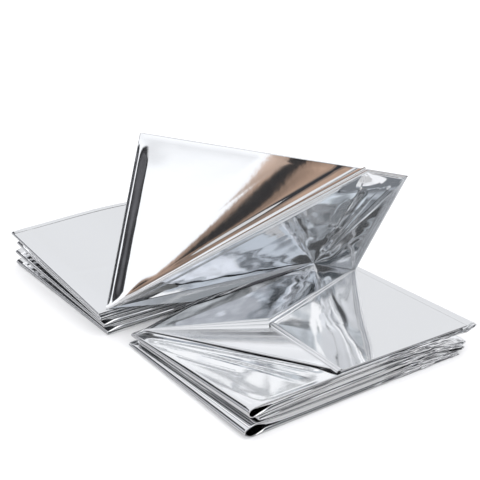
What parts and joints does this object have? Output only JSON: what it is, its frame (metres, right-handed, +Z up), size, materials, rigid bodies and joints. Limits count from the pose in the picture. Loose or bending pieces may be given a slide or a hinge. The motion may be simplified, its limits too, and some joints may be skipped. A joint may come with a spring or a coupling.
{
  "type": "folded emergency foil blanket",
  "caption": "Silver emergency foil blanket lying half unfolded: two low stacks of folded layers joined by a pointed, hollow standing flap.",
  "frame": {"origin": "middle of the blanket's footprint, on the surface it lies on", "axes": "+Z up; +Y from the front stack to the rear stack; +X along the folded panels, towards the flap's raised right tip"},
  "size_m": [0.194, 0.2836, 0.1285],
  "materials": {
    "foil": "mirror-bright aluminised film with fold creases"
  },
  "bodies": {
    "root": {"foil_blanket": "foil"}
  },
  "joints": []
}
